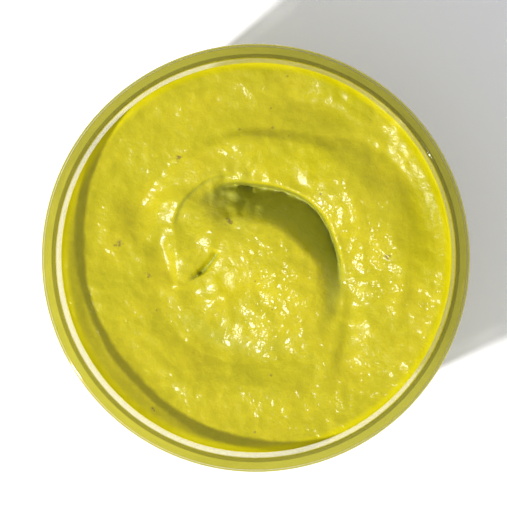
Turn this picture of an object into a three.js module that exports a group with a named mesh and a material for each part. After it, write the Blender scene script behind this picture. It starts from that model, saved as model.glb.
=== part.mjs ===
// A small tapered glass jar with a wide flat rim, filled with a thick green smoothie
// whose top was stirred into a spiral with a spoon. Millimetres, +Z up. The origin is
// the middle of the base, on the surface that the jar stands on.

import * as THREE from 'three';

// Driving sizes of the jar. Its wall leans outward, by UPPER_LEAN degrees above the
// bend and by LOWER_LEAN below it.
const HEIGHT = 55;
const RIM_RADIUS = 41.5;
const RIM_WIDTH = 2.7;
const RIM_ROUNDING = 0.75;
const UPPER_LEAN = 7.5;
const LOWER_LEAN = 3.7;
const BEND_HEIGHT = 38;
const BEND_ROUNDING = 3;
const FOOT_ROUNDING = 3;
const BASE_THICKNESS = 5;
const INNER_ROUNDING = 5;
const HOLLOW_RADIUS = 28;
const HOLLOW_DEPTH = 0.9;
const HOLLOW_SLOPE = 3;

// Driving sizes of the smoothie
const LEVEL = 47;
const WALL_GAP = 0.3;
const BANK_START = 31;
const BANK_END = 35.5;
const BANK_RISE = 0.5;
const LIP_START = 34.6;
const LIP_END = 37;
const LIP_RISE = 0.65;

// How finely the round shapes are divided
const JAR_SIDES = 64;
const SMOOTHIE_SIDES = 80;
const CORNER_STEPS = 5;
const RIM_STEPS = 4;
const BEND_OFFSETS = [-8, -3, 0, 3, 8];

// The rings of the smoothie's top lie closest at the groove, and those inside
// EVEN_RADIUS follow it. The spread says how fast they widen away from it.
const GROOVE_RING = 15;
const EVEN_RADIUS = 27;
const INNER_RINGS = 13;
const INNER_SPREAD = 1.25;
const OUTER_RINGS = 16;
const OUTER_SPREAD = 1.35;

// The spoon's groove winds outward, clockwise seen from above, round SWIRL_CENTRE from
// the direction START_ANGLE. Each row gives how far it has turned in degrees, its
// radius and its depth there, and how far its inner and its outer side reach.
const SWIRL_CENTRE = new THREE.Vector2(0.5, 0.4);
const START_ANGLE = 205;
const FULL_TURN = 360;
const GROOVE = [
  { turn: 0, radius: 14.0, depth: 0.0, inner: 3.0, outer: 3.0 },
  { turn: 55, radius: 14.5, depth: 0.0, inner: 3.0, outer: 3.0 },
  { turn: 70, radius: 14.9, depth: 0.6, inner: 4.6, outer: 1.6 },
  { turn: 80, radius: 14.9, depth: 1.7, inner: 6.0, outer: 1.0 },
  { turn: 90, radius: 14.8, depth: 3.4, inner: 6.8, outer: 0.5 },
  { turn: 100, radius: 14.2, depth: 5.6, inner: 7.0, outer: 0.3 },
  { turn: 110, radius: 13.6, depth: 7.4, inner: 7.0, outer: 0.2 },
  { turn: 122, radius: 13.3, depth: 8.3, inner: 7.0, outer: 0.2 },
  { turn: 136, radius: 13.4, depth: 8.4, inner: 7.2, outer: 0.2 },
  { turn: 155, radius: 13.9, depth: 7.8, inner: 7.3, outer: 0.2 },
  { turn: 173, radius: 14.3, depth: 6.8, inner: 7.3, outer: 0.2 },
  { turn: 195, radius: 14.7, depth: 5.2, inner: 6.2, outer: 0.25 },
  { turn: 212, radius: 15.7, depth: 3.1, inner: 4.8, outer: 0.5 },
  { turn: 228, radius: 17.2, depth: 1.5, inner: 4.6, outer: 1.4 },
  { turn: 240, radius: 18.6, depth: 1.3, inner: 3.8, outer: 2.2 },
  { turn: 254, radius: 20.2, depth: 1.0, inner: 4.0, outer: 3.2 },
  { turn: 275, radius: 20.0, depth: 0.9, inner: 6.0, outer: 3.2 },
  { turn: 296, radius: 21.0, depth: 1.3, inner: 7.5, outer: 3.2 },
  { turn: 331, radius: 21.8, depth: 1.5, inner: 7.5, outer: 3.0 },
  { turn: 359, radius: 21.8, depth: 0.7, inner: 5.0, outer: 3.0 },
  { turn: 385, radius: 23.5, depth: 0.2, inner: 4.0, outer: 2.8 },
  { turn: 405, radius: 25.0, depth: 0.9, inner: 4.0, outer: 2.4 },
  { turn: 430, radius: 24.6, depth: 0.6, inner: 3.0, outer: 3.0 },
  { turn: 467, radius: 25.2, depth: 0.8, inner: 1.8, outer: 7.0 },
  { turn: 487, radius: 25.2, depth: 0.9, inner: 2.0, outer: 7.0 },
  { turn: 506, radius: 27.2, depth: 0.9, inner: 3.4, outer: 5.0 },
  { turn: 520, radius: 30.6, depth: 1.0, inner: 6.0, outer: 4.0 },
  { turn: 535, radius: 32.4, depth: 1.2, inner: 8.0, outer: 3.0 },
  { turn: 555, radius: 33.0, depth: 0.8, inner: 8.0, outer: 2.5 },
  { turn: 575, radius: 33.0, depth: 0.0, inner: 8.0, outer: 2.5 },
];
const GROOVE_ROUNDING = 0.25;
const GROOVE_FLOOR_SHARE = 0.65;
const INNER_FALL = 1.5;
const OUTER_FALL = 1.1;
const FIRST_TURN_END = 235;

// Mounds of the stirred top, and the dips between them: place, reach and height
const MOUNDS = [
  { x: 4.0, y: 2.4, reach: 11.5, height: 2.2 },
  { x: -0.5, y: -8.5, reach: 3.2, height: -0.8 },
  { x: -5.0, y: -15.0, reach: 5.5, height: -1.1 },
  { x: 0.5, y: -17.0, reach: 3.0, height: -0.4 },
  { x: 6.0, y: -18.5, reach: 3.6, height: -0.6 },
  { x: -4.5, y: -20.0, reach: 3.0, height: 0.5 },
  { x: 6.0, y: -25.5, reach: 3.5, height: 0.4 },
  { x: -12.0, y: -7.0, reach: 3.0, height: -0.9 },
  { x: -9.5, y: -3.4, reach: 2.6, height: -0.9 },
  { x: -21.5, y: 0.0, reach: 2.6, height: 0.5 },
  { x: -6.0, y: -1.9, reach: 3.8, height: 0.35 },
  { x: -5.5, y: 11.2, reach: 3.2, height: -2.0 },
  { x: -14.3, y: 10.6, reach: 2.4, height: 1.1 },
  { x: -8.5, y: 5.0, reach: 3.0, height: 0.8 },
  { x: -22.0, y: 9.5, reach: 4.0, height: -1.0 },
  { x: -27.0, y: -7.0, reach: 5.0, height: 0.7 },
  { x: -13.0, y: 29.0, reach: 4.5, height: 0.5 },
  { x: 2.5, y: 31.5, reach: 4.5, height: 1.0 },
  { x: 14.0, y: 25.0, reach: 4.0, height: 0.7 },
  { x: 12.5, y: 16.5, reach: 5.0, height: 0.6 },
  { x: -2.0, y: 22.5, reach: 3.2, height: 0.4 },
  { x: 21.0, y: 22.0, reach: 4.0, height: 0.5 },
  { x: 19.5, y: 11.0, reach: 5.4, height: 1.8 },
  { x: 29.5, y: 12.0, reach: 4.5, height: 0.8 },
  { x: 23.5, y: 15.0, reach: 3.0, height: -0.5 },
  { x: 28.0, y: 19.0, reach: 3.0, height: 0.4 },
  { x: 30.5, y: -1.0, reach: 4.5, height: 0.7 },
  { x: 30.0, y: -9.5, reach: 3.5, height: 0.6 },
  { x: 26.0, y: -18.0, reach: 4.5, height: 0.5 },
  { x: -13.0, y: -31.5, reach: 8.0, height: 0.4 },
  { x: 10.5, y: -6.5, reach: 4.0, height: 0.7 },
  { x: 1.0, y: 11.8, reach: 2.6, height: -0.8 },
  { x: 10.0, y: 5.0, reach: 3.0, height: -0.7 },
  { x: -12.0, y: 19.3, reach: 3.5, height: 0.4 },
  { x: 4.0, y: 22.5, reach: 3.5, height: 0.35 },
  { x: -15.8, y: -2.0, reach: 2.6, height: -0.7 },
  { x: -8.5, y: -13.5, reach: 3.4, height: -0.4 },
  { x: -28.0, y: 7.0, reach: 3.0, height: 0.3 },
  { x: 24.0, y: -1.5, reach: 3.2, height: -0.4 },
  { x: 22.0, y: -12.0, reach: 2.8, height: 0.35 },
  { x: 17.2, y: -1.0, reach: 2.0, height: -0.4 },
  { x: -1.5, y: 17.0, reach: 2.6, height: -0.3 },
  { x: 1.3, y: 10.6, reach: 1.4, height: 1.5 },
  { x: -3.8, y: 13.0, reach: 1.2, height: 1.2 },
];

// Strokes along a path: their height, the reach to the left and to the right of the
// path, and the share of the path over which they begin and end
const STROKES = [
  // the raised band between the two turns of the groove
  {
    path: [[-18.5, 6], [-17, 13], [-11, 18.5], [-3, 22], [5, 23], [14, 21], [22, 15.5], [27.5, 7.5],
      [30, -1], [29, -11]],
    height: 1.4, left: 5.5, right: 6, begin: 0.35, end: 0.3,
  },
  // the lower ground on the right, between the deep fold's end and the band
  {
    path: [[16.6, 6], [17.8, 0], [18.6, -9], [17, -20], [14.5, -26]],
    height: -1.1, left: 3, right: 1.6, begin: 0.25, end: 0.3,
  },
  // the tongue that points down on the left, and the lower ground beside it
  {
    path: [[-15.6, 9], [-15.4, 3], [-15.2, -2], [-15, -6.4]],
    height: 0.55, left: 3, right: 0.9, begin: 0.4, end: 0.08,
  },
  {
    path: [[-18.6, 6], [-17.8, 0], [-16.6, -6]],
    height: -0.75, left: 1.3, right: 2.6, begin: 0.35, end: 0.3,
  },
  // the second, fainter step outside the band
  {
    path: [[-4, 30.5], [5, 31], [14, 29], [21, 24.5]],
    height: -0.9, left: 2.5, right: 4.5, begin: 0.3, end: 0.3,
  },
  // the flatter bank at the top
  {
    path: [[-21, 32], [-10, 37], [2, 38.3], [14, 36], [24, 30]],
    height: -1.1, left: 3, right: 3, begin: 0.25, end: 0.25,
  },
  // the low ridge outside the valley, nearest the light
  {
    path: [[-18, -19.5], [-10, -24], [0, -25.5], [10, -24.5]],
    height: 0.8, left: 2.2, right: 3.5, begin: 0.3, end: 0.3,
  },
  // the crease from the tongue round the curl to the deep fold
  {
    path: [[-15.6, 4.5], [-15.2, 8.4], [-13.2, 12], [-9.3, 15.1], [-5.4, 16.1], [-1.5, 15.6]],
    height: -0.8, left: 0.5, right: 2.4, begin: 0.3, end: 0.25,
  },
  // the fold of the small curl in the middle, deepest near its lower end
  {
    path: [[-7.2, 1.4], [-8.4, -0.6], [-9.9, -2.2], [-11.6, -3.6], [-13.4, -4.6]],
    height: -1.3, left: 0.5, right: 0.9, begin: 0.1, end: 0.35,
  },
  {
    path: [[-9.2, -1.6], [-10.2, -2.7], [-11.3, -3.3]],
    height: -1, left: 0.5, right: 0.8, begin: 0.3, end: 0.3,
  },
];
const STROKE_STEPS = 24;

function clamp01(value) {
  return Math.min(Math.max(value, 0), 1);
}

function smooth(value) {
  const t = clamp01(value);
  return t * t * (3 - 2 * t);
}

// A smooth curve through the rows of the groove, for one of their sizes
function grooveSize(turn, size) {
  const last = GROOVE.length - 1;
  let i = 0;
  while (i < last - 1 && turn > GROOVE[i + 1].turn) {
    i += 1;
  }
  const slope = (k) => {
    const before = GROOVE[Math.max(k - 1, 0)];
    const after = GROOVE[Math.min(k + 1, last)];
    return (after[size] - before[size]) / (after.turn - before.turn);
  };
  const from = GROOVE[i];
  const to = GROOVE[i + 1];
  const span = to.turn - from.turn;
  const t = clamp01((turn - from.turn) / span);
  const blend = smooth(t);
  const ease = t * (1 - t) * span;
  return from[size] * (1 - blend) + to[size] * blend
    + ease * ((1 - t) * slope(i) - t * slope(i + 1));
}

// How far the groove lies below the surface at one of its turns
function grooveDepth(offset, turn) {
  const depth = Math.max(grooveSize(turn, 'depth'), 0);
  const away = Math.hypot(offset, GROOVE_ROUNDING) - GROOVE_ROUNDING;
  if (offset >= 0) {
    return depth * Math.exp(-Math.pow(away / grooveSize(turn, 'outer'), OUTER_FALL));
  }
  const share = clamp01(away / grooveSize(turn, 'inner'));
  return depth * (GROOVE_FLOOR_SHARE * (1 - smooth(share))
    + (1 - GROOVE_FLOOR_SHARE) * Math.pow(1 - share, INNER_FALL));
}

// How far the groove has turned when it first points along dx, dy
function turnAlong(dx, dy) {
  const angle = THREE.MathUtils.radToDeg(Math.atan2(dy, dx));
  return THREE.MathUtils.euclideanModulo(START_ANGLE - angle, FULL_TURN);
}

function groove(x, y) {
  const dx = x - SWIRL_CENTRE.x;
  const dy = y - SWIRL_CENTRE.y;
  const radius = Math.hypot(dx, dy);
  const lastTurn = GROOVE[GROOVE.length - 1].turn;
  let depth = 0;
  for (let turn = turnAlong(dx, dy); turn <= lastTurn; turn += FULL_TURN) {
    depth += grooveDepth(radius - grooveSize(turn, 'radius'), turn);
  }
  return depth;
}

function mound({ x: mx, y: my, reach, height }, x, y) {
  const q = Math.hypot(x - mx, y - my) / reach;
  return height * Math.exp(-q * q);
}

// Each stroke's path as a line of short straight pieces
const strokeLines = STROKES.map(({ path }) => {
  const points = path.map(([x, y]) => new THREE.Vector3(x, y, 0));
  return new THREE.CatmullRomCurve3(points).getPoints(STROKE_STEPS);
});

function stroke({ height, left, right, begin, end }, line, x, y) {
  let best = { distance: Infinity, side: 1, share: 0 };
  for (let i = 0; i < line.length - 1; i += 1) {
    const a = line[i];
    const dx = line[i + 1].x - a.x;
    const dy = line[i + 1].y - a.y;
    const t = clamp01(((x - a.x) * dx + (y - a.y) * dy) / (dx * dx + dy * dy));
    const ox = x - a.x - t * dx;
    const oy = y - a.y - t * dy;
    const distance = Math.hypot(ox, oy);
    if (distance < best.distance) {
      best = { distance, side: dx * oy - dy * ox, share: (i + t) / (line.length - 1) };
    }
  }
  const q = best.distance / (best.side > 0 ? left : right);
  return height * Math.exp(-q * q) * smooth(best.share / begin) * smooth((1 - best.share) / end);
}

// Height of the smoothie's surface over its level
function relief(x, y) {
  const radius = Math.hypot(x, y);
  let height = BANK_RISE * smooth((radius - BANK_START) / (BANK_END - BANK_START));
  height += LIP_RISE * smooth((radius - LIP_START) / (LIP_END - LIP_START));
  height -= groove(x, y);
  for (const each of MOUNDS) {
    height += mound(each, x, y);
  }
  STROKES.forEach((each, i) => {
    height += stroke(each, strokeLines[i], x, y);
  });
  return height;
}

const upperLean = THREE.MathUtils.degToRad(UPPER_LEAN);
const lowerLean = THREE.MathUtils.degToRad(LOWER_LEAN);
const rimHeight = HEIGHT - RIM_ROUNDING;

// How far the leaning wall has moved outward at a height over its bend
function outward(height) {
  const upper = Math.tan(upperLean);
  const lower = Math.tan(lowerLean);
  return ((upper + lower) * height + (upper - lower) * Math.hypot(height, BEND_ROUNDING)) / 2;
}

// Radius of a wall that leans like the jar's outside, a distance inward from it
function wallRadius(z, inset) {
  return RIM_RADIUS - inset + outward(z - BEND_HEIGHT) - outward(rimHeight - BEND_HEIGHT);
}

// The wall where it bends
function bend(inset) {
  return BEND_OFFSETS.map((offset) => {
    const z = BEND_HEIGHT + offset;
    return new THREE.Vector2(wallRadius(z, inset), z);
  });
}

// A round corner, as points from one angle to another
function corner(centreRadius, centreHeight, rounding, from, to, steps) {
  const points = [];
  for (let i = 0; i <= steps; i += 1) {
    const angle = from + (to - from) * (i / steps);
    points.push(new THREE.Vector2(
      centreRadius + rounding * Math.cos(angle),
      centreHeight + rounding * Math.sin(angle),
    ));
  }
  return points;
}

// The round corner between a flat floor and the leaning wall
function floorCorner(inset, floorHeight, rounding) {
  const touch = wallRadius(floorHeight + rounding * (1 - Math.sin(lowerLean)), inset);
  const centreRadius = touch - rounding * Math.cos(lowerLean);
  const centreHeight = floorHeight + rounding;
  return corner(centreRadius, centreHeight, rounding, -Math.PI / 2, -lowerLean, CORNER_STEPS);
}

function jarGeometry() {
  const outerCentre = RIM_RADIUS - RIM_ROUNDING;
  const innerCentre = RIM_RADIUS - RIM_WIDTH + RIM_ROUNDING;
  const profile = [
    new THREE.Vector2(0, HOLLOW_DEPTH),
    new THREE.Vector2(HOLLOW_RADIUS - HOLLOW_SLOPE, HOLLOW_DEPTH),
    new THREE.Vector2(HOLLOW_RADIUS, 0),
    ...floorCorner(0, 0, FOOT_ROUNDING),
    ...bend(0),
    ...corner(outerCentre, rimHeight, RIM_ROUNDING, -upperLean, Math.PI / 2, RIM_STEPS),
    ...corner(innerCentre, rimHeight, RIM_ROUNDING, Math.PI / 2, Math.PI - upperLean, RIM_STEPS),
    ...bend(RIM_WIDTH).reverse(),
    ...floorCorner(RIM_WIDTH, BASE_THICKNESS, INNER_ROUNDING).reverse(),
    new THREE.Vector2(0, BASE_THICKNESS),
  ];
  return new THREE.LatheGeometry(profile, JAR_SIDES).rotateX(Math.PI / 2);
}

// The radii of the top's rings, from the middle outward
function ringRadii(edge) {
  const radii = [];
  for (let i = 0; i < INNER_RINGS; i += 1) {
    radii.push(GROOVE_RING * (1 - Math.pow(1 - i / INNER_RINGS, INNER_SPREAD)));
  }
  for (let i = 0; i <= OUTER_RINGS; i += 1) {
    radii.push(GROOVE_RING + (edge - GROOVE_RING) * Math.pow(i / OUTER_RINGS, OUTER_SPREAD));
  }
  return radii;
}

// The radius of the groove's first turn, closed where its start and its end overlap
function firstTurnRadius(turn) {
  if (turn < FIRST_TURN_END) {
    return grooveSize(turn, 'radius');
  }
  const share = (turn - FIRST_TURN_END) / (FULL_TURN - FIRST_TURN_END);
  return THREE.MathUtils.lerp(grooveSize(FIRST_TURN_END, 'radius'), GROOVE[0].radius, share);
}

// Where a point of the round rings lies once the rings follow the groove
function followGroove(x, y) {
  const radius = Math.hypot(x, y);
  const hold = clamp01((EVEN_RADIUS - radius) / (EVEN_RADIUS - GROOVE_RING));
  const grooveRadius = firstTurnRadius(turnAlong(x, y));
  const scale = radius > GROOVE_RING
    ? 1 + (hold * (grooveRadius - GROOVE_RING)) / radius
    : grooveRadius / GROOVE_RING;
  return [x * scale + hold * SWIRL_CENTRE.x, y * scale + hold * SWIRL_CENTRE.y];
}

function smoothieGeometry() {
  const inset = RIM_WIDTH + WALL_GAP;
  const floorHeight = BASE_THICKNESS + WALL_GAP;
  const edge = wallRadius(LEVEL + BANK_RISE + LIP_RISE, inset);
  const side = [
    new THREE.Vector2(0, floorHeight),
    ...floorCorner(inset, floorHeight, INNER_ROUNDING - WALL_GAP),
    ...bend(inset),
  ];
  const rings = ringRadii(edge).reverse().map((radius) => new THREE.Vector2(radius, LEVEL));
  const profile = [...side, ...rings];
  const geometry = new THREE.LatheGeometry(profile, SMOOTHIE_SIDES).rotateX(Math.PI / 2);
  const position = geometry.getAttribute('position');
  for (let i = 0; i < position.count; i += 1) {
    if (i % profile.length >= side.length) {
      const [x, y] = followGroove(position.getX(i), position.getY(i));
      position.setXYZ(i, x, y, LEVEL + relief(x, y));
    }
  }
  geometry.computeVertexNormals();
  return geometry;
}

const glass = new THREE.MeshStandardMaterial({
  color: 0xeef2ec, roughness: 0.05, metalness: 0, transparent: true, opacity: 0.35,
});
const puree = new THREE.MeshStandardMaterial({ color: 0xcdc52c, roughness: 0.4, metalness: 0 });

const jar = new THREE.Mesh(jarGeometry(), glass);
jar.name = 'glass_jar';

const smoothie = new THREE.Mesh(smoothieGeometry(), puree);
smoothie.name = 'smoothie';

const part = new THREE.Group();
part.name = 'green_smoothie_in_jar';
part.add(jar, smoothie);

export default part;
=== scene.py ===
"""A small glass jar of thick green smoothie, stirred into a spiral, seen from almost straight above.

Blender works in metres, so shapes are worked out in millimetres and scaled by MM at the end.
"""
import math

import bpy
import numpy as np
from mathutils import Matrix, Vector


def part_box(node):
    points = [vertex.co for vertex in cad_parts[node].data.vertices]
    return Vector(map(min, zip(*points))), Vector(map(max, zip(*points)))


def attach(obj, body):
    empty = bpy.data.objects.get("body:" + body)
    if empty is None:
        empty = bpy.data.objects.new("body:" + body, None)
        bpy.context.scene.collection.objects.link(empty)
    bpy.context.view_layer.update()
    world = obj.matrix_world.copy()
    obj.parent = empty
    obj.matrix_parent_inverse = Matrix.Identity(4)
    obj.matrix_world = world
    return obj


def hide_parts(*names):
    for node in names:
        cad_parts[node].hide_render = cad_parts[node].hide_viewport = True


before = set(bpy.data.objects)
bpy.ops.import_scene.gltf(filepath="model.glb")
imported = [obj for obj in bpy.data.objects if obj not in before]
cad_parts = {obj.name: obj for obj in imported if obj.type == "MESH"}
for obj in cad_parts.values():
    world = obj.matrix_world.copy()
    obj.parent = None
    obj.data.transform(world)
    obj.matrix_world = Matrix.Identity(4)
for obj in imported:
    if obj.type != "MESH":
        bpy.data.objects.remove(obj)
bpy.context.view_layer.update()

MM = 0.001
jar_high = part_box("glass_jar")[1]

# Jar sizes, in millimetres. Its wall leans outward, by UPPER_LEAN degrees above the bend
# and by LOWER_LEAN below it.
HEIGHT = jar_high.z / MM
RIM_RADIUS = jar_high.x / MM
RIM_WIDTH = 2.7
RIM_ROUNDING = 0.75
UPPER_LEAN = 7.5
LOWER_LEAN = 3.7
BEND_HEIGHT = 38
BEND_ROUNDING = 3
FOOT_ROUNDING = 3
BASE_THICKNESS = 5
INNER_ROUNDING = 5
HOLLOW_RADIUS = 28
HOLLOW_DEPTH = 0.9
HOLLOW_SLOPE = 3
JAR_SIDES = 288
ROUND_STEPS = 12
INNER_FLOOR_STEPS = 16
WALL_STEPS = 24
RIM_STEPS = 4

# Smoothie sizes, in millimetres
LEVEL = 47
REACH_INTO_WALL = 0.12
BANK_START = 31
BANK_END = 35.5
BANK_RISE = 0.5
LIP_START = 34.6
LIP_END = 37
LIP_RISE = 0.65
CLIMB_WIDTH = 0.5
CLIMB_RISE = 0.2
LUMP_FADE = 1.5
TOP_CELLS = 256
SIDE_STEPS = 20
LOW_CORNER_STEPS = 10
FLOOR_RINGS = (20, 10)

# The photo's frame, and the camera, which leans from straight above towards the upper right
FRAME_WIDTH = 507
FRAME_HEIGHT = 524
JAR_AXIS_PIXEL = (255.5, 258.2)
RIM_PIXEL_MM = 0.1935
CAMERA_DISTANCE = 1.085
CAMERA_LEAN = 2.0
CAMERA_LEAN_TURN = 45
SENSOR_WIDTH = 36

# The light from the lower left, the soft light all round, and the pale floor
LIGHT_TURN = 32.5
LIGHT_ELEVATION = 49.4
LIGHT_DISTANCE = 0.95
LIGHT_RADIUS = 0.027
LIGHT_POWER = 52
LIGHT_COLOUR = (1.0, 0.995, 0.975)
SKY_COLOUR = (0.955, 0.97, 1.0, 1.0)
SKY_STRENGTH = 0.66
FLOOR_COLOUR = (0.975, 0.965, 1.0, 1.0)
FLOOR_HALF = 1500
FLOOR_DROP = 0.05


def smooth(value):
    t = np.clip(value, 0, 1)
    return t * t * (3 - 2 * t)


# The stirred groove winds outward, clockwise seen from above: how far it has turned,
# its radius and depth there, and how far its inner and outer sides reach
SWIRL_CENTRE = (0.5, 0.4)
STIR_SHIFT = 0.2
START_ANGLE = 205
GROOVE_ROUNDING = 0.25
GROOVE_FLOOR_SHARE = 0.65
INNER_FALL = 1.5
OUTER_FALL = 1.1
GROOVE = np.array([
    (0, 14.0, 0.0, 3.0, 3.0),
    (55, 14.5, 0.0, 3.0, 3.0),
    (70, 14.9, 0.6, 4.6, 1.6),
    (80, 14.9, 1.7, 6.0, 1.0),
    (90, 14.8, 3.4, 6.8, 0.5),
    (100, 14.2, 5.6, 7.0, 0.3),
    (110, 13.6, 7.4, 7.0, 0.2),
    (122, 13.3, 8.3, 7.0, 0.2),
    (136, 13.4, 8.4, 7.2, 0.2),
    (155, 13.9, 7.8, 7.3, 0.2),
    (173, 14.3, 6.8, 7.3, 0.2),
    (195, 14.7, 5.2, 6.2, 0.25),
    (212, 15.7, 3.1, 4.8, 0.5),
    (228, 17.2, 1.5, 4.6, 1.4),
    (240, 18.6, 1.3, 3.8, 2.2),
    (254, 20.2, 1.0, 4.0, 3.2),
    (275, 20.0, 0.9, 6.0, 3.2),
    (296, 21.0, 1.3, 7.5, 3.2),
    (331, 21.8, 1.5, 7.5, 3.0),
    (359, 21.8, 0.7, 5.0, 3.0),
    (385, 23.5, 0.2, 4.0, 2.8),
    (405, 25.0, 0.9, 4.0, 2.4),
    (430, 24.6, 0.6, 3.0, 3.0),
    (467, 25.2, 0.8, 1.8, 7.0),
    (487, 25.2, 0.9, 2.0, 7.0),
    (506, 27.2, 0.9, 3.4, 5.0),
    (520, 30.6, 1.0, 6.0, 4.0),
    (535, 32.4, 1.2, 8.0, 3.0),
    (555, 33.0, 0.8, 8.0, 2.5),
    (575, 33.0, 0.0, 8.0, 2.5),
])

# Mounds, and the dips between them: x, y, reach, height
MOUNDS = [
    (4.0, 2.4, 11.5, 2.2),
    (-0.5, -8.5, 3.2, -0.8),
    (-5.0, -15.0, 5.5, -1.1),
    (0.5, -17.0, 3.0, -0.4),
    (6.0, -18.5, 3.6, -0.6),
    (-4.5, -20.0, 3.0, 0.5),
    (6.0, -25.5, 3.5, 0.4),
    (-12.0, -7.0, 3.0, -0.9),
    (-9.5, -3.4, 2.6, -0.65),
    (-21.5, 0.0, 2.6, 0.5),
    (-6.0, -1.9, 3.8, 0.2),
    (-5.5, 11.2, 3.2, -2.0),
    (-14.3, 10.6, 2.4, 1.1),
    (-8.5, 5.0, 3.0, 0.8),
    (-22.0, 9.5, 4.0, -1.0),
    (-27.0, -7.0, 5.0, 0.7),
    (-13.0, 29.0, 4.5, 0.5),
    (2.5, 31.5, 4.5, 1.0),
    (14.0, 25.0, 4.0, 0.7),
    (12.5, 16.5, 5.0, 0.6),
    (-2.0, 22.5, 3.2, 0.4),
    (21.0, 22.0, 4.0, 0.5),
    (19.5, 11.0, 5.4, 1.8),
    (29.5, 12.0, 4.5, 0.8),
    (23.5, 15.0, 3.0, -0.5),
    (28.0, 19.0, 3.0, 0.4),
    (30.5, -1.0, 4.5, 0.7),
    (30.0, -9.5, 3.5, 0.6),
    (26.0, -18.0, 4.5, 0.5),
    (-13.0, -31.5, 8.0, 0.4),
    (10.5, -6.5, 4.0, 0.7),
    (1.0, 11.8, 2.6, -0.8),
    (10.0, 5.0, 3.0, -0.7),
    (-12.0, 19.3, 3.5, 0.4),
    (4.0, 22.5, 3.5, 0.35),
    (-15.8, -2.0, 2.6, -0.7),
    (-8.5, -13.5, 3.4, -0.4),
    (-28.0, 7.0, 3.0, 0.3),
    (24.0, -1.5, 3.2, -0.4),
    (22.0, -12.0, 2.8, 0.35),
    (17.2, -1.0, 2.0, -0.4),
    (-1.5, 17.0, 2.6, -0.3),
    (1.3, 10.6, 1.4, 1.5),
    (-3.8, 13.0, 1.2, 1.2),
    (4.6, -5.0, 2.4, 0.3),
    (1.8, -7.4, 2.4, -0.3),
]

# Strokes along a path: points, height, reach left and right, begin and end shares
STROKES = [
    # the raised band between the two turns of the groove
    ([(-18.5, 6), (-17, 13), (-11, 18.5), (-3, 22), (5, 23), (14, 21), (22, 15.5), (27.5, 7.5),
      (30, -1), (29, -11)], 1.4, 5.5, 6.0, 0.35, 0.3),
    # the lower ground on the right, between the deep fold's end and the band
    ([(16.6, 6), (17.8, 0), (18.6, -9), (17.0, -20), (14.5, -26)], -1.1, 3.0, 1.6, 0.25, 0.3),
    # the tongue that points down on the left, and the lower ground beside it
    ([(-15.6, 9), (-15.4, 3), (-15.2, -2), (-15.0, -6.4)], 0.55, 3.0, 0.9, 0.4, 0.08),
    ([(-18.6, 6.0), (-17.8, 0), (-16.6, -6.0)], -0.75, 1.3, 2.6, 0.35, 0.3),
    # the second, fainter step outside the band
    ([(-4, 30.5), (5, 31), (14, 29), (21, 24.5)], -0.9, 2.5, 4.5, 0.3, 0.3),
    # the flatter bank at the top
    ([(-21, 32), (-10, 37), (2, 38.3), (14, 36), (24, 30), (28, 26)], -1.1, 3.0, 3.0, 0.2, 0.2),
    # the low ridge outside the valley, nearest the light
    ([(-18, -19.5), (-10, -24.0), (0, -25.5), (10, -24.5)], 0.8, 2.2, 3.5, 0.3, 0.3),
]

# Thin creases, written like the strokes
CREASES = [
    # from the tongue round the curl to the deep fold
    ([(-15.6, 4.5), (-15.2, 8.4), (-13.2, 12.0), (-9.3, 15.1), (-5.4, 16.1), (-1.5, 15.6)],
     -0.8, 0.25, 2.4, 0.3, 0.25),
    # the fold of the small curl in the middle
    ([(-7.2, 1.4), (-8.4, -0.6), (-9.9, -2.2), (-11.6, -3.6), (-13.4, -4.6)],
     -1.3, 0.22, 0.9, 0.1, 0.35),
    ([(-9.2, -1.6), (-10.2, -2.7), (-11.3, -3.3)], -1.0, 0.3, 0.6, 0.3, 0.3),
]
STROKE_STEPS = 24

# Painted shade in the fold and the creases: a darker tint that stands in for the shade down in them.
# FOLD_START is a spot: x, y, reach.
FOLD_START = (-4.5, 12.0, 4.5)
FOLD_START_SHADE = 0.8
SHALLOW_END = 1.0
SHALLOW_SHARE = 0.45
DEEP_END = 3.0
FOLD_RADIUS = 20
FOLD_FADE = 4
CREASE_SHADE_WIDTH = 0.3


def groove_sizes(turn):
    """Radius, depth, inner and outer reach of the groove, each a smooth curve through its rows."""
    turns = GROOVE[:, 0]
    slopes = np.empty_like(GROOVE[:, 1:])
    slopes[1:-1] = (GROOVE[2:, 1:] - GROOVE[:-2, 1:]) / (turns[2:] - turns[:-2])[:, None]
    slopes[0] = (GROOVE[1, 1:] - GROOVE[0, 1:]) / (turns[1] - turns[0])
    slopes[-1] = (GROOVE[-1, 1:] - GROOVE[-2, 1:]) / (turns[-1] - turns[-2])
    i = np.clip(np.searchsorted(turns, turn, side="right") - 1, 0, len(turns) - 2)
    span = turns[i + 1] - turns[i]
    t = np.clip((turn - turns[i]) / span, 0, 1)
    blend = smooth(t)
    ease = t * (1 - t) * span
    sizes = []
    for k in range(slopes.shape[1]):
        value = GROOVE[i, k + 1] * (1 - blend) + GROOVE[i + 1, k + 1] * blend
        sizes.append(value + ease * ((1 - t) * slopes[i, k] - t * slopes[i + 1, k]))
    return sizes


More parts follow.
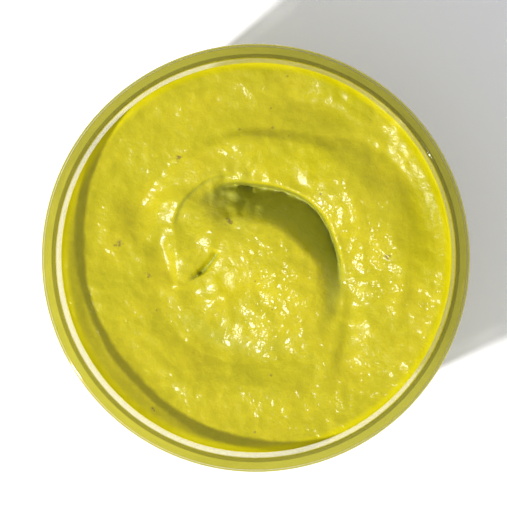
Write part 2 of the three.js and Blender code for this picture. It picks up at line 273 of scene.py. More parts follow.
def groove(x, y):
    """Depth of the stirred groove, over both of its turns."""
    dx, dy = x - SWIRL_CENTRE[0], y - SWIRL_CENTRE[1]
    radius = np.hypot(dx, dy)
    first_turn = np.mod(START_ANGLE - np.degrees(np.arctan2(dy, dx)), 360)
    total = np.zeros_like(radius)
    for turn in (first_turn, first_turn + 360):
        middle, depth, inner, outer = groove_sizes(turn)
        offset = radius - middle
        away = np.hypot(offset, GROOVE_ROUNDING) - GROOVE_ROUNDING
        share = np.clip(away / inner, 0, 1)
        floor = GROOVE_FLOOR_SHARE * (1 - smooth(share))
        inside = floor + (1 - GROOVE_FLOOR_SHARE) * (1 - share) ** INNER_FALL
        outside = np.exp(-(away / outer) ** OUTER_FALL)
        shape = np.where(offset < 0, inside, outside) * np.clip(depth, 0, None)
        total += np.where(turn <= GROOVE[-1, 0], shape, 0)
    return total


def curve_through(points, steps):
    """A smooth line through the points, as short straight pieces."""
    p = np.array(points, float)
    p = np.vstack([2 * p[0] - p[1], p, 2 * p[-1] - p[-2]])
    line = []
    for u in np.linspace(0, len(points) - 1, steps + 1):
        i = min(int(u), len(points) - 2)
        t = u - i
        a, b, c, d = p[i:i + 4]
        line.append(0.5 * (2 * b + (c - a) * t + (2 * a - 5 * b + 4 * c - d) * t ** 2
                           + (3 * b - a - 3 * c + d) * t ** 3))
    return np.array(line)


def stroke(x, y, points, height, left, right, begin, end):
    """A ridge, or a valley where its height is negative, along a path."""
    line = curve_through(points, STROKE_STEPS)
    distance = np.full(x.shape, np.inf)
    side = np.ones(x.shape)
    share = np.zeros(x.shape)
    for i, (a, b) in enumerate(zip(line[:-1], line[1:])):
        dx, dy = b - a
        t = np.clip(((x - a[0]) * dx + (y - a[1]) * dy) / (dx * dx + dy * dy), 0, 1)
        ox, oy = x - a[0] - t * dx, y - a[1] - t * dy
        here = np.hypot(ox, oy)
        nearer = here < distance
        distance = np.where(nearer, here, distance)
        side = np.where(nearer, dx * oy - dy * ox, side)
        share = np.where(nearer, (i + t) / STROKE_STEPS, share)
    q = distance / np.where(side > 0, left, right)
    return height * np.exp(-q * q) * smooth(share / begin) * smooth((1 - share) / end)


def near(x, y, spot):
    """1 at a spot given as x, y, reach, falling off with the distance from it."""
    return np.exp(-(np.hypot(x - spot[0], y - spot[1]) / spot[2]) ** 2)


def relief(x, y):
    """Height of the smoothie's surface over its level, without its fine lumps."""
    radius = np.hypot(x, y)
    height = BANK_RISE * smooth((radius - BANK_START) / (BANK_END - BANK_START))
    height += LIP_RISE * smooth((radius - LIP_START) / (LIP_END - LIP_START))
    x, y = x + STIR_SHIFT, y + STIR_SHIFT
    height -= groove(x, y)
    for mx, my, reach, rise in MOUNDS:
        height += rise * np.exp(-(np.hypot(x - mx, y - my) / reach) ** 2)
    for each in STROKES + CREASES:
        height += stroke(x, y, *each)
    return height


def painted_fold_shade(x, y):
    """Painted shade: 0 on the open surface, 1 deep in the fold and in the creases, where the puree is
    drawn darker to stand in for the shade there.
    """
    x, y = x + STIR_SHIFT, y + STIR_SHIFT
    below = groove(x, y)
    shallow, deep = smooth(below / SHALLOW_END), smooth(below / DEEP_END)
    depth = SHALLOW_SHARE * shallow + (1 - SHALLOW_SHARE) * deep
    depth *= smooth((FOLD_RADIUS - np.hypot(x, y)) / FOLD_FADE)
    depth = np.maximum(depth, FOLD_START_SHADE * near(x, y, FOLD_START))
    for points, height, left, _, begin, end in CREASES:
        depth = np.maximum(depth, -stroke(x, y, points, height, left, CREASE_SHADE_WIDTH, begin, end))
    return np.clip(depth, 0, 1)


# Fine lumps: random fields, each smoothed to the size of its lumps
FIELD_STEP = 0.2
FIELD_HALF = 42
FIELD_MARGIN = 0.001
TURN_CELLS = 1024
TURN_RADIUS = 20
CALM_RADIUS = 4
CALM_FADE = 6

# The kinds of lumps: height, size, seed
STIRRED_LUMPS = (0.15, 1.3, 11)
STIRRED_STRETCH = 1.8
SMALL_LUMPS = (0.055, 0.7, 12)
FINEST_LUMPS = (0.012, 0.35, 13)
FOLD_CRUMBS = (0.38, 0.6, 14)


def soften(field, across, along):
    """field blurred by a Gaussian of the given widths in cells, wrapping at its edges."""
    fy = np.fft.fftfreq(field.shape[0])[:, None]
    fx = np.fft.fftfreq(field.shape[1])[None, :]
    falloff = np.exp(-2 * math.pi ** 2 * ((across * fy) ** 2 + (along * fx) ** 2))
    return np.fft.ifft2(np.fft.fft2(field) * falloff).real


def sample(field, row, column):
    """field read between its cells, wrapping along its rows and held at its other edges."""
    rows, columns = field.shape
    row = np.clip(row, 0, rows - 1 - FIELD_MARGIN)
    i, j = np.floor(row).astype(int), np.floor(column).astype(int)
    v, u = row - i, column - j
    j0, j1 = j % columns, (j + 1) % columns
    low = field[i, j0] * (1 - u) + field[i, j1] * u
    high = field[i + 1, j0] * (1 - u) + field[i + 1, j1] * u
    return low * (1 - v) + high * v


def even_lumps(x, y, height, size, seed):
    """Round lumps of one size. Their height is a standard deviation."""
    cells = int(2 * FIELD_HALF / FIELD_STEP)
    field = np.random.default_rng(seed).standard_normal((cells, cells))
    field = soften(field, size / FIELD_STEP, size / FIELD_STEP)
    field *= height / field.std()
    return sample(field, (y + FIELD_HALF) / FIELD_STEP, (x + FIELD_HALF) / FIELD_STEP)


def stirred_lumps(x, y, height, size, seed):
    """Lumps drawn out along the stirring, fading out in the middle."""
    rows = int(FIELD_HALF / FIELD_STEP)
    field = np.random.default_rng(seed).standard_normal((rows, TURN_CELLS))
    mean_cell = 2 * math.pi * TURN_RADIUS / TURN_CELLS
    field = soften(field, size / FIELD_STEP, size * STIRRED_STRETCH / mean_cell)
    field *= height / field.std()
    turn = np.arctan2(y, x) / (2 * math.pi) * TURN_CELLS
    radius = np.hypot(x, y)
    return sample(field, radius / FIELD_STEP, turn) * smooth((radius - CALM_RADIUS) / CALM_FADE)


def lumps(x, y):
    """All the fine lumps, with crumbs where the deep fold starts."""
    height = stirred_lumps(x, y, *STIRRED_LUMPS)
    height += near(x, y, FOLD_START) * even_lumps(x, y, *FOLD_CRUMBS)
    height += even_lumps(x, y, *SMALL_LUMPS)
    height += even_lumps(x, y, *FINEST_LUMPS)
    return height


# Walls of the jar
upper_lean = math.radians(UPPER_LEAN)
lower_lean = math.radians(LOWER_LEAN)
rim_height = HEIGHT - RIM_ROUNDING


def outward(height):
    """How far the leaning wall has moved outward at a height over its bend."""
    upper, lower = math.tan(upper_lean), math.tan(lower_lean)
    return ((upper + lower) * height + (upper - lower) * np.hypot(height, BEND_ROUNDING)) / 2


def wall_radius(z, inset):
    """Radius of a wall that leans like the jar's outside, a distance inward from it."""
    return RIM_RADIUS - inset + outward(z - BEND_HEIGHT) - outward(rim_height - BEND_HEIGHT)


def corner(centre_radius, centre_height, rounding, start, end, steps):
    """Points of a rounded corner of a profile, between two angles."""
    angle = np.linspace(start, end, steps + 1)
    return np.column_stack([
        centre_radius + rounding * np.cos(angle), centre_height + rounding * np.sin(angle)])


def floor_corner(inset, floor_height, rounding, steps):
    """The round corner between a flat floor and the leaning wall."""
    touch = wall_radius(floor_height + rounding * (1 - math.sin(lower_lean)), inset)
    centre_radius = touch - rounding * math.cos(lower_lean)
    return corner(centre_radius, floor_height + rounding, rounding, -math.pi / 2, -lower_lean, steps)


def wall_between(low, high, inset, steps):
    """Points of the wall strictly between two heights."""
    z = np.linspace(low, high, steps + 1)[1:-1]
    return np.column_stack([wall_radius(z, inset), z])


def new_object(name, points, faces, materials, face_materials=None):
    """A smooth-shaded mesh object from points in millimetres."""
    mesh = bpy.data.meshes.new(name)
    mesh.from_pydata((np.asarray(points, float) * MM).tolist(), [], faces)
    for material in materials:
        mesh.materials.append(material)
    if face_materials is not None:
        mesh.polygons.foreach_set("material_index", face_materials)
    mesh.polygons.foreach_set("use_smooth", np.ones(len(mesh.polygons), bool))
    mesh.update()
    piece = bpy.data.objects.new(name, mesh)
    bpy.context.scene.collection.objects.link(piece)
    return piece


def turned(name, profile, sides, materials, slot_at):
    """A closed body turned round the Z axis. The profile runs from the axis to the axis."""
    angle = np.arange(sides) * 2 * math.pi / sides
    ring = profile[1:-1]
    x = ring[:, 0, None] * np.cos(angle)
    y = ring[:, 0, None] * np.sin(angle)
    z = np.repeat(ring[:, 1, None], sides, axis=1)
    points = np.stack([x, y, z], -1).reshape(-1, 3)
    ends = np.array([(0, 0, profile[0][1]), (0, 0, profile[-1][1])])
    points = np.vstack([points, ends])
    first, last = len(points) - 2, len(points) - 1
    faces, slots = [], []
    top_row = (len(ring) - 1) * sides
    for k in range(sides):
        n = (k + 1) % sides
        faces.append((first, n, k))
        slots.append(0)
        for row in range(len(ring) - 1):
            a, b = row * sides + k, row * sides + n
            faces.append((a, b, b + sides, a + sides))
            slots.append(slot_at(*(ring[row] + ring[row + 1]) / 2))
        faces.append((last, top_row + k, top_row + n))
        slots.append(0)
    return new_object(name, points, faces, materials, slots)


def make_jar(materials):
    outer_foot = floor_corner(0, 0, FOOT_ROUNDING, ROUND_STEPS)
    outer_rim = corner(RIM_RADIUS - RIM_ROUNDING, rim_height, RIM_ROUNDING,
                       -upper_lean, math.pi / 2, ROUND_STEPS)
    inner_rim = corner(RIM_RADIUS - RIM_WIDTH + RIM_ROUNDING, rim_height, RIM_ROUNDING,
                       math.pi / 2, math.pi - upper_lean, ROUND_STEPS)
    inner_floor = floor_corner(RIM_WIDTH, BASE_THICKNESS, INNER_ROUNDING, INNER_FLOOR_STEPS)[::-1]
    profile = np.vstack([
        [(0, HOLLOW_DEPTH), (HOLLOW_RADIUS - HOLLOW_SLOPE, HOLLOW_DEPTH), (HOLLOW_RADIUS, 0)],
        outer_foot,
        wall_between(outer_foot[-1, 1], outer_rim[0, 1], 0, WALL_STEPS),
        outer_rim,
        np.linspace(outer_rim[-1], inner_rim[0], RIM_STEPS + 1)[1:-1],
        inner_rim,
        wall_between(inner_rim[-1, 1], inner_floor[0, 1], RIM_WIDTH, WALL_STEPS),
        inner_floor,
        [(0, BASE_THICKNESS)],
    ])

    def slot_at(radius, z):
        """0 the wall and the base, 1 the flat of the rim, 2 its inner rounded edge."""
        if z < rim_height or radius > RIM_RADIUS - RIM_ROUNDING:
            return 0
        return 1 if radius > RIM_RADIUS - RIM_WIDTH + RIM_ROUNDING else 2

    return turned("jar", profile, JAR_SIDES, materials, slot_at)


def disc_grid(cells):
    """Points of an even square grid bent onto a disc of radius 1."""
    axis = np.linspace(-1, 1, cells + 1)
    a, b = np.meshgrid(axis, axis)
    wide = np.abs(a) >= np.abs(b)
    radius = np.where(wide, a, b)
    safe = np.where(radius == 0, 1, radius)
    angle = np.where(wide, math.pi / 4 * b / safe, math.pi / 2 - math.pi / 4 * a / safe)
    return radius * np.cos(angle), radius * np.sin(angle)


def make_smoothie(materials):
    """The smoothie's top as a fine relief, and its side and floor a little way into the glass."""
    u, v = disc_grid(TOP_CELLS)
    inset = RIM_WIDTH - REACH_INTO_WALL
    edge_height = LEVEL + BANK_RISE + LIP_RISE + CLIMB_RISE
    edge_radius = wall_radius(edge_height, inset)
    x, y = u * edge_radius, v * edge_radius
    radius = np.hypot(x, y)
    climb = CLIMB_RISE * np.clip(1 - (edge_radius - radius) / CLIMB_WIDTH, 0, 1) ** 2
    fade = smooth((edge_radius - radius) / LUMP_FADE)
    z = LEVEL + relief(x, y) + climb + lumps(x, y) * fade
    count = TOP_CELLS + 1
    points = [np.stack([x, y, z], -1).reshape(-1, 3)]
    index = np.arange(count * count).reshape(count, count)
    quads = np.stack([index[:-1, :-1], index[:-1, 1:], index[1:, 1:], index[1:, :-1]], -1)
    faces = quads.reshape(-1, 4).tolist()

    loop = np.concatenate([index[0, :-1], index[:-1, -1], index[-1, :0:-1], index[:0:-1, 0]])
    top = points[0][loop]
    turn = np.arctan2(top[:, 1], top[:, 0])
    floor_height = BASE_THICKNESS - REACH_INTO_WALL
    low_rounding = INNER_ROUNDING + REACH_INTO_WALL
    low_corner = floor_corner(inset, floor_height, low_rounding, LOW_CORNER_STEPS)[::-1]
    wall = np.vstack([
        wall_between(edge_height, low_corner[0, 1], inset, SIDE_STEPS),
        low_corner,
        [(ring_radius, floor_height) for ring_radius in FLOOR_RINGS],
    ])
    before = loop
    total = count * count
    for ring_radius, ring_height in wall:
        ring = np.column_stack([
            ring_radius * np.cos(turn), ring_radius * np.sin(turn), np.full(len(turn), ring_height)])
        points.append(ring)
        here = total + np.arange(len(loop))
        total += len(loop)
        quads = np.stack([before, here, np.roll(here, -1), np.roll(before, -1)], -1)
        faces += quads.tolist()
        before = here
    points.append(np.array([(0, 0, floor_height)]))
    faces += [(int(a), total, int(b)) for a, b in zip(before, np.roll(before, -1))]
    slots = np.ones(len(faces), int)
    slots[:TOP_CELLS * TOP_CELLS] = 0
    piece = new_object("smoothie_stirred", np.vstack(points), faces, materials, slots)
    # the painted shade of the fold and the creases, kept on the top's points for the material
    deep = np.zeros(len(piece.data.vertices))
    deep[:count * count] = painted_fold_shade(x, y).ravel()
    piece.data.attributes.new("painted_fold_shade", "FLOAT", "POINT").data.foreach_set("value", deep)
    return piece


class Nodes:
    """A material's node tree, written as calls that return output sockets."""

    def __init__(self, name):
        self.material = bpy.data.materials.new(name)
        self.material.use_nodes = True
        self.tree = self.material.node_tree
        self.tree.nodes.clear()

    def add(self, kind, output=0, settings=None, **inputs):
        """A new node. Its inputs are given by name, or by number as i0, i1 and so on."""
        node = self.tree.nodes.new(kind)
        for name, value in (settings or {}).items():
            setattr(node, name, value)
        for name, value in inputs.items():
            key = int(name[1:]) if name[1:].isdigit() else name.replace("_", " ")
            socket = node.inputs[key]
            if isinstance(value, bpy.types.NodeSocket):
                self.tree.links.new(value, socket)
            else:
                socket.default_value = value
        return node.outputs[output]

    def finish(self, shader):
        """The material, with this shader as its surface."""
        out = self.tree.nodes.new("ShaderNodeOutputMaterial")
        self.tree.links.new(shader, out.inputs[0])
        return self.material

    def math(self, operation, a, b=0.0, clamp=False):
        settings = {"operation": operation, "use_clamp": clamp}
        return self.add("ShaderNodeMath", settings=settings, i0=a, i1=b)

    def vector(self, operation, a, b, output=0):
        return self.add("ShaderNodeVectorMath", output, {"operation": operation}, i0=a, i1=b)

    def ramp(self, value, low, high):
        """0 below low and 1 above high, smooth between them."""
        settings = {"interpolation_type": "SMOOTHSTEP"}
        return self.add("ShaderNodeMapRange", settings=settings, Value=value, i1=low, i2=high)

    def mix(self, factor, a, b):
        return self.add("ShaderNodeMix", 2, {"data_type": "RGBA"}, i0=factor, i6=a, i7=b)

    def tint(self, base, place, share, colour_there):
        """base with a share of another colour where place is 1."""
        return self.mix(self.math("MULTIPLY", place, share), base, colour_there)

    def spot(self, flat, spot_x, spot_y, reach):
        """1 at a spot of the surface, in millimetres, and 0 from its reach on."""
        away = self.vector("DISTANCE", flat, (spot_x * MM, spot_y * MM, 0), 1)
        return self.math("SUBTRACT", 1.0, self.ramp(away, 0.0, reach * MM))

    def noise(self, where, size, detail, roughness, output=0):
        return self.add("ShaderNodeTexNoise", output, Vector=where, Scale=1 / (size * MM),
                        Detail=detail, Roughness=roughness)

    def pattern(self, where, size, detail, roughness, low, high):
        """Noise of a size in millimetres, spread so that low becomes 0 and high becomes 1."""
        return self.ramp(self.noise(where, size, detail, roughness), low, high)


def colour(r, g, b):
    return (r, g, b, 1.0)


# Noises: size in millimetres, detail, roughness
RIPPLES = (1.8, 1.5, 0.5)
RAGGED_EDGES = (0.7, 2, 0.5)

# Patterns: noises with the values that become 0 and 1
DRIFT = (9, 3, 0.5, 0.35, 0.68)
PULP = (1.9, 4, 0.6, 0.38, 0.68)
GRAIN = (0.55, 3, 0.6, 0.30, 0.72)
FILM_PATCHES = (4.5, 2, 0.5, 0.36, 0.58)
SIDE_DRIFT = (6, 4, 0.6, 0.35, 0.68)

# Colours of the puree, then the painted shade and painted light drawn over it, and how much of each
# there is over the one before it
DRIFT_LOW = colour(0.425, 0.38, 0.003)
DRIFT_HIGH = colour(0.475, 0.408, 0.005)
PULP_COLOUR = colour(0.57, 0.495, 0.008)
PULP_SHARE = 0.30
GRAIN_COLOUR = colour(0.34, 0.31, 0.005)
GRAIN_SHARE = 0.14
# painted shade on the slopes near the glass at the upper right and the top
PAINTED_SHADE_COLOUR = colour(0.30, 0.28, 0.003)
# painted shade down in the fold and the creases
FOLD_SHADE_COLOUR = colour(0.222, 0.270, 0.055)
FOLD_SHADE_SHARE = 0.52
# painted light in the band along the glass, brighter still at the lit spots
BAND_LIGHT_COLOUR = colour(0.54, 0.475, 0.0)
LIT_BAND_COLOUR = colour(0.66, 0.58, 0.0)
FINE_FLECK_COLOUR = colour(0.20, 0.14, 0.03)
FINE_FLECK_SHARE = 0.6
FLECK_COLOUR = colour(0.14, 0.08, 0.03)
FLECK_SHARE = 0.8

# The band along the glass, from this radius to that, whose colour is painted light
BAND_START = 36.2
BAND_END = 37.5

# The fine flecks: one cell's width, a fleck's reach in cells, and the lot over which a cell has one
FINE_FLECK_CELL = 3.2
FINE_FLECK_REACH = 0.085
FINE_FLECK_LOT = 0.84

# How far the noise moves the edges of the large flecks in x, y and z
RAGGED_REACH = (3 * MM, 2 * MM, 0)

# The bumps of the pulp and of the film's ripples. The ripples are strongest on the right,
# which starts and ends at these values of x, and fade towards the top, at these values of y.
PULP_HEIGHT = 0.05
RIPPLE_HEIGHT = 0.9
RIPPLE_EVERYWHERE = 0.18
RIPPLE_IN_PATCHES = 0.30
RIPPLE_ON_RIGHT = 0.42
RIPPLE_LEAST = 0.05
RIGHT_START = -14
RIGHT_END = 8
TOP_START = 17
TOP_END = 29
DRY_BAND_SHARE = 0.8

# Where the film's ripples are stronger, or weaker, than round about: x, y, reach, amount
WET_SPOTS = [
    (24.5, 4.0, 9.0, 0.6),
    (24.5, -4.0, 8.0, 0.4),
    (17.5, 4.0, 6.0, 0.3),
    (3.4, -3.5, 8.0, 0.8),
    (3.4, -10.5, 7.0, 0.2),
    (10.4, 17.6, 9.0, -0.9),
    (3.4, 18.0, 8.0, -0.5),
    (17.5, 31.5, 10.0, -0.9),
    (34.0, 3.0, 12.0, -0.9),
    (33.0, 13.0, 8.0, -0.8),
    (29.0, 19.0, 10.0, -0.7),
    (20.0, -13.0, 9.0, -0.5),
    (24.5, -17.5, 10.0, -0.6),
    (-3.6, -3.5, 6.5, -0.9),
    (-10.5, -3.5, 6.5, -0.8),
    (-17.5, 0.0, 7.0, -0.3),
]

# Where the film is thin: x, y, reach, amount
DRY_SPOTS = [
    (35.0, 2.0, 13.0, 0.75),
    (33.0, 11.0, 8.0, 0.7),
    (30.0, 20.0, 8.0, 0.5),
    (17.0, 31.5, 8.0, 0.7),
    (-6.0, -4.0, 6.0, 0.7),
    (10.4, 17.6, 8.0, 0.7),
    (2.0, 17.6, 7.0, 0.5),
]

# Painted shade: where the puree is drawn a little darker, for the shade on the slopes near the glass
# at the upper right and the top: x, y, reach, amount
PAINTED_SHADE_SPOTS = [
    (33.5, 8.0, 15.0, 0.45),
    (14.0, 31.0, 14.0, 0.3),
    (-2.0, 33.0, 12.0, 0.2),
]

# The large flecks: x, y, reach
FLECKS = [
    (25.3, 0.0, 0.9),
    (-26.9, 2.6, 0.9),
    (-15.1, 19.4, 0.8),
    (-20.2, -29.6, 0.7),
    (-5.4, 7.1, 0.8),
    (-21.2, -3.7, 0.7),
]

# Painted light: where light gets through the glass into the band along it, the band is drawn
# brighter: x, y, reach
LIT_BAND_SPOTS = [(-32.0, 20.0, 14.0), (3.3, -37.6, 10.0)]


def puree_colour(n, where, flat, pulp, band_place):
    """Broad drifts, pulp and small grains, painted shade in places and in the fold, and painted light
    in the band along the glass.
    """
    base = n.mix(n.pattern(where, *DRIFT), DRIFT_LOW, DRIFT_HIGH)
    base = n.tint(base, pulp, PULP_SHARE, PULP_COLOUR)
    base = n.tint(base, n.pattern(where, *GRAIN), GRAIN_SHARE, GRAIN_COLOUR)
    # painted shade near the glass at the upper right and the top
    for spot_x, spot_y, reach, amount in PAINTED_SHADE_SPOTS:
        base = n.tint(base, n.spot(flat, spot_x, spot_y, reach), amount, PAINTED_SHADE_COLOUR)

    # painted shade, darker down in the fold and in the creases
    deep = n.add("ShaderNodeAttribute", "Fac", {"attribute_name": "painted_fold_shade"})
    base = n.tint(base, deep, FOLD_SHADE_SHARE, FOLD_SHADE_COLOUR)

    # painted light: the band along the glass, which the light gets into, drawn paler and brighter,
    # most at the lit spots
    band = BAND_LIGHT_COLOUR
    for spot_x, spot_y, reach in LIT_BAND_SPOTS:
        band = n.mix(n.spot(flat, spot_x, spot_y, reach), band, LIT_BAND_COLOUR)
    return n.mix(band_place, base, band)


def with_flecks(n, base, where, flat):
    """The colour with many fine flecks of skin, and a few larger ones with ragged edges."""
    scale = 1 / (FINE_FLECK_CELL * MM)
    cells = n.add("ShaderNodeTexVoronoi", Vector=where, Scale=scale).node.outputs
    fleck = n.math("LESS_THAN", cells["Distance"], FINE_FLECK_REACH)
    lot = n.add("ShaderNodeSeparateColor", i0=cells["Color"])
    fleck = n.math("MULTIPLY", fleck, n.math("GREATER_THAN", lot, FINE_FLECK_LOT))
    base = n.tint(base, fleck, FINE_FLECK_SHARE, FINE_FLECK_COLOUR)

    wobble = n.noise(where, *RAGGED_EDGES, output=1)
    wobble = n.vector("SUBTRACT", wobble, (0.5, 0.5, 0.5))
    ragged = n.vector("ADD", flat, n.vector("MULTIPLY", wobble, RAGGED_REACH))
    for spot_x, spot_y, reach in FLECKS:
        base = n.tint(base, n.spot(ragged, spot_x, spot_y, reach), FLECK_SHARE, FLECK_COLOUR)
    return base


def ripple_strength(n, where, flat, x, y):
    """How strong the ripples of the wet film are, more in some places than in others."""
    patches = n.pattern(where, *FILM_PATCHES)
    right = n.ramp(x, RIGHT_START * MM, RIGHT_END * MM)
    below_top = n.math("SUBTRACT", 1.0, n.ramp(y, TOP_START * MM, TOP_END * MM))
    side = n.math("MULTIPLY", n.math("MULTIPLY", right, below_top), RIPPLE_ON_RIGHT)
    strength = n.math("ADD", n.math("MULTIPLY", patches, RIPPLE_IN_PATCHES), side)
    strength = n.math("ADD", strength, RIPPLE_EVERYWHERE)
    for spot_x, spot_y, reach, amount in WET_SPOTS:
        spot = n.spot(flat, spot_x, spot_y, reach)
        strength = n.math("ADD", strength, n.math("MULTIPLY", spot, amount))
    return n.math("MAXIMUM", strength, RIPPLE_LEAST)


def film_weight(n, flat, band_place):
    """How much film there is: 1 almost everywhere, less in the dry spots and along the glass."""
    dry = n.math("MULTIPLY", band_place, DRY_BAND_SHARE)
    for spot_x, spot_y, reach, amount in DRY_SPOTS:
        dry = n.math("ADD", dry, n.math("MULTIPLY", n.spot(flat, spot_x, spot_y, reach), amount))
    return n.math("SUBTRACT", 1.0, dry, clamp=True)


def smoothie_material():
    """The stirred top of the smoothie: soft, lumpy puree under a wet film."""
    n = Nodes("smoothie_puree")
    where = n.add("ShaderNodeTexCoord", "Object")
    xyz = n.add("ShaderNodeSeparateXYZ", i0=where).node.outputs
    x, y = xyz["X"], xyz["Y"]
    flat = n.add("ShaderNodeCombineXYZ", i0=x, i1=y, i2=0.0)
    radius = n.math("SQRT", n.math("ADD", n.math("MULTIPLY", x, x), n.math("MULTIPLY", y, y)))
    band_place = n.ramp(radius, BAND_START * MM, BAND_END * MM)
    pulp = n.pattern(where, *PULP)

    base = puree_colour(n, where, flat, pulp, band_place)
    base = with_flecks(n, base, where, flat)
    lumpy = n.add("ShaderNodeBump", Strength=1.0, Distance=PULP_HEIGHT * MM, Height=pulp)
    strength = ripple_strength(n, where, flat, x, y)
    film = n.add("ShaderNodeBump", Strength=strength, Distance=RIPPLE_HEIGHT * MM,
                 Height=n.noise(where, *RIPPLES), Normal=lumpy)
    return n.finish(n.add(
        "ShaderNodeBsdfPrincipled", Base_Color=base, Roughness=0.42, IOR=1.36, Normal=lumpy,
        Specular_IOR_Level=0.1, Subsurface_Weight=0.8,
        Subsurface_Radius=(0.0011, 0.0011, 0.0003), Subsurface_Scale=0.38,
        Coat_Weight=film_weight(n, flat, band_place), Coat_Roughness=0.25, Coat_IOR=1.36,
        Coat_Normal=film,
    ))


# The smoothie behind the glass: its colours, and how squarely across the light a side has to
# face before it is drawn paler as painted light, on the lower right and more faintly on the upper
# left
SIDE_LOW = colour(0.385, 0.36, 0.021)
SIDE_HIGH = colour(0.44, 0.40, 0.028)
SIDE_PAINTED_LIGHT = colour(0.55, 0.515, 0.045)
GLOW_START = 0.76
FAINT_GLOW_START = 0.86
FAINT_GLOW_SHARE = 0.45


def side_material():
    """The smoothie where it wets the glass, with painted light: paler on the sides that the light
    runs along.
    """
    n = Nodes("puree_at_glass")
    where = n.add("ShaderNodeTexCoord", "Object")
    base = n.mix(n.pattern(where, *SIDE_DRIFT), SIDE_LOW, SIDE_HIGH)
    turn = math.radians(LIGHT_TURN)
    across_light = n.add("ShaderNodeCombineXYZ", i0=math.sin(turn), i1=-math.cos(turn), i2=0.0)
    outward_way = n.add("ShaderNodeVectorMath", 0, {"operation": "NORMALIZE"},
                        i0=n.vector("MULTIPLY", where, (1, 1, 0)))
    across = n.vector("DOT_PRODUCT", outward_way, across_light, 1)
    # painted light: paler on the sides that face across the light
    faint = n.ramp(n.math("MULTIPLY", across, -1.0), FAINT_GLOW_START, 1.0)
    glow = n.math("ADD", n.ramp(across, GLOW_START, 1.0), n.math("MULTIPLY", faint, FAINT_GLOW_SHARE))
    base = n.mix(glow, base, SIDE_PAINTED_LIGHT)
    return n.finish(n.add(
        "ShaderNodeBsdfPrincipled", Base_Color=base, Roughness=0.6, Specular_IOR_Level=0.0))


# The glass of the wall, of the flat of the rim and of its inner edge, with the share of a
# lamp's light that passes them head on. At a slant less passes: LAMP_SLANT is where that
# starts and ends, from 0 for head on to 1 for along the face.
WALL_TINT = colour(0.955, 0.945, 0.93)
RIM_TINT = colour(0.99, 0.995, 0.985)
# painted shade: the glass of the inner rounded edge is drawn greyer for the dark line seen through it
EDGE_SHADE_TINT = colour(0.57, 0.56, 0.60)
WALL_LAMP_SHARE = 0.80
RIM_LAMP_SHARE = 0.03
LAMP_BLUE_SHARE = 0.97
LAMP_SLANT = (0.66, 0.88)
SLANT_LIGHT = colour(0.05, 0.05, 0.045)
SOFT_LIGHT = colour(0.96, 0.96, 0.94)


def glass_material(name, tint, lamp_share):
    """Clear glass. lamp_share is how much of a lamp's light passes a face that it meets head on."""
    n = Nodes(name)
    glass = n.add("ShaderNodeBsdfGlass", Color=tint, Roughness=0.02, IOR=1.5)
    slant = n.ramp(n.add("ShaderNodeLayerWeight", "Facing", Blend=0.5), *LAMP_SLANT)
    head_on = colour(lamp_share, lamp_share, lamp_share * LAMP_BLUE_SHARE)
    clear = n.add("ShaderNodeBsdfTransparent", Color=head_on)
    dim = n.add("ShaderNodeBsdfTransparent", Color=SLANT_LIGHT)
    lamp = n.add("ShaderNodeMixShader", i0=slant, i1=clear, i2=dim)
    soft_light = n.add("ShaderNodeBsdfTransparent", Color=SOFT_LIGHT)
    paths = n.tree.nodes.new("ShaderNodeLightPath").outputs
    soft = n.add("ShaderNodeMixShader", i0=paths["Is Diffuse Ray"], i1=glass, i2=soft_light)
    return n.finish(n.add("ShaderNodeMixShader", i0=paths["Is Shadow Ray"], i1=soft, i2=lamp))


def floor_material():
    n = Nodes("pale_floor")
    return n.finish(n.add(
        "ShaderNodeBsdfPrincipled", Base_Color=FLOOR_COLOUR, Roughness=0.6, Specular_IOR_Level=0.1))


def make_floor():
    half = FLOOR_HALF
    points = [(-half, -half, 0), (half, -half, 0), (half, half, 0), (-half, half, 0)]
    floor = new_object("floor", points, [(0, 1, 2, 3)], [floor_material()])
    floor.location.z = -FLOOR_DROP * MM


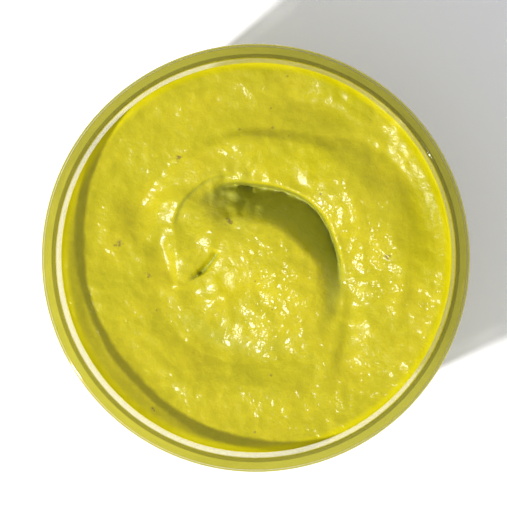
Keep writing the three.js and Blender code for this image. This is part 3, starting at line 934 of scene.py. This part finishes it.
def make_light():
    """The lamp, of even strength at any distance, and the soft light all round."""
    lamp = bpy.data.lights.new("key", "POINT")
    lamp.shadow_soft_size = LIGHT_RADIUS
    lamp.energy = LIGHT_POWER
    lamp.color = LIGHT_COLOUR
    lamp.use_nodes = True
    nodes = lamp.node_tree.nodes
    falloff = nodes.new("ShaderNodeLightFalloff")
    falloff.inputs["Strength"].default_value = 1.0
    lamp.node_tree.links.new(falloff.outputs["Constant"], nodes["Emission"].inputs["Strength"])
    light = bpy.data.objects.new("key", lamp)
    turn, rise = math.radians(LIGHT_TURN), math.radians(LIGHT_ELEVATION)
    light.location = (
        -LIGHT_DISTANCE * math.cos(rise) * math.cos(turn),
        -LIGHT_DISTANCE * math.cos(rise) * math.sin(turn),
        LIGHT_DISTANCE * math.sin(rise),
    )
    bpy.context.scene.collection.objects.link(light)
    world = bpy.data.worlds.new("studio")
    world.use_nodes = True
    background = world.node_tree.nodes["Background"]
    background.inputs["Color"].default_value = SKY_COLOUR
    background.inputs["Strength"].default_value = SKY_STRENGTH
    bpy.context.scene.world = world


def make_camera():
    """A camera that looks at the middle of the photo's frame, at the height of the rim."""
    data = bpy.data.cameras.new("camera")
    data.sensor_width = SENSOR_WIDTH
    data.lens = SENSOR_WIDTH * CAMERA_DISTANCE / (FRAME_HEIGHT * RIM_PIXEL_MM * MM)
    camera = bpy.data.objects.new("camera", data)
    aim = Vector((
        (FRAME_WIDTH / 2 - JAR_AXIS_PIXEL[0]) * RIM_PIXEL_MM,
        (JAR_AXIS_PIXEL[1] - FRAME_HEIGHT / 2) * RIM_PIXEL_MM,
        HEIGHT,
    )) * MM
    turn = math.radians(CAMERA_LEAN_TURN)
    hinge = Vector((-math.sin(turn), math.cos(turn), 0))
    lean = Matrix.Rotation(math.radians(CAMERA_LEAN), 4, hinge)
    away = Matrix.Translation((0, 0, CAMERA_DISTANCE))
    camera.matrix_world = Matrix.Translation(aim) @ lean @ away
    bpy.context.scene.collection.objects.link(camera)
    bpy.context.scene.camera = camera


make_camera()
make_light()
make_floor()

jar = make_jar([
    glass_material("jar_glass", WALL_TINT, WALL_LAMP_SHARE),
    glass_material("jar_rim_glass", RIM_TINT, RIM_LAMP_SHARE),
    glass_material("jar_edge_glass", EDGE_SHADE_TINT, RIM_LAMP_SHARE),
])
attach(jar, "root")
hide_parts("glass_jar")

smoothie = make_smoothie([smoothie_material(), side_material()])
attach(smoothie, "root")
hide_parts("smoothie")

scene = bpy.context.scene
scene.view_settings.view_transform = "Standard"
